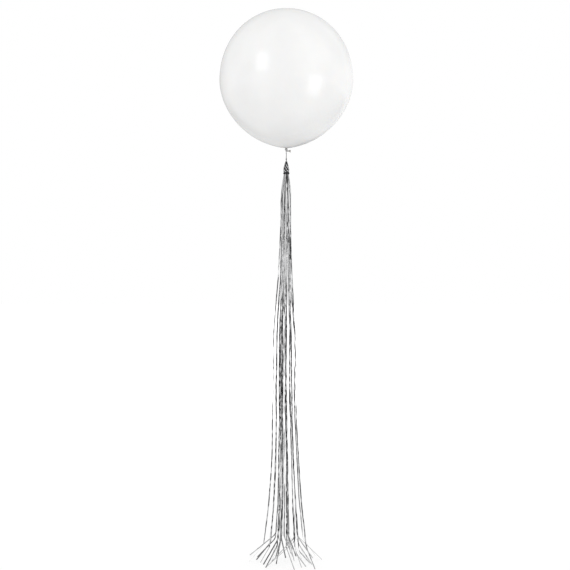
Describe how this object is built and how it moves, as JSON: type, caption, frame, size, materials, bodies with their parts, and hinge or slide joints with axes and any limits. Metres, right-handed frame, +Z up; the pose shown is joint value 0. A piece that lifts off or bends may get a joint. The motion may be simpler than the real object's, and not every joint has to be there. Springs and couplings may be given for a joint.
{
  "type": "balloon with tassel tail",
  "caption": "Round white latex party balloon, tied at its neck, with a short string and a long silver foil tassel that hangs below it and swings.",
  "frame": {"origin": "centre of the round envelope at its widest level, where the lift of its gas holds it up", "axes": "+Z up along the line of neck, string and tassel; +X to the side that the mouth's rolled lip points to; -Y towards the viewer"},
  "size_m": [0.6094, 0.6094, 2.519],
  "materials": {
    "latex": "smooth glossy opaque white latex, slightly translucent where it is thick at the neck",
    "cord": "thin grey twisted string",
    "foil": "bright silver metallised film, finely creased"
  },
  "bodies": {
    "balloon": {"envelope": "latex", "neck_knot": "latex", "mouth_rim": "latex", "neck_tie": "cord"},
    "string": {"string": "cord"},
    "tassel": {"tassel_head": "foil", "tassel_binding": "foil", "foil_strip_01": "foil", "foil_strip_02": "foil", "foil_strip_03": "foil", "foil_strip_04": "foil", "foil_strip_05": "foil", "foil_strip_06": "foil", "foil_strip_07": "foil", "foil_strip_08": "foil", "foil_strip_09": "foil", "foil_strip_10": "foil", "foil_strip_11": "foil", "foil_strip_12": "foil", "foil_strip_13": "foil", "foil_strip_14": "foil", "foil_strip_15": "foil", "foil_strip_16": "foil", "foil_strip_17": "foil", "foil_strip_18": "foil", "foil_strip_19": "foil", "foil_strip_20": "foil", "foil_strip_21": "foil", "foil_strip_22": "foil", "foil_strip_23": "foil", "foil_strip_24": "foil", "foil_strip_25": "foil", "foil_strip_26": "foil", "foil_strip_27": "foil", "foil_strip_28": "foil", "foil_strip_29": "foil", "foil_strip_30": "foil"}
  },
  "joints": [
    {"name": "string_swing", "type": "hinge", "parent": "balloon", "child": "string", "pos_m": [0, 0, -0.3334], "axis": [1, 0, 0], "range_deg": [-60, 60]},
    {"name": "tassel_swing", "type": "hinge", "parent": "string", "child": "tassel", "pos_m": [0, 0, -0.3723], "axis": [0, 1, 0], "range_deg": [-60, 60]}
  ]
}
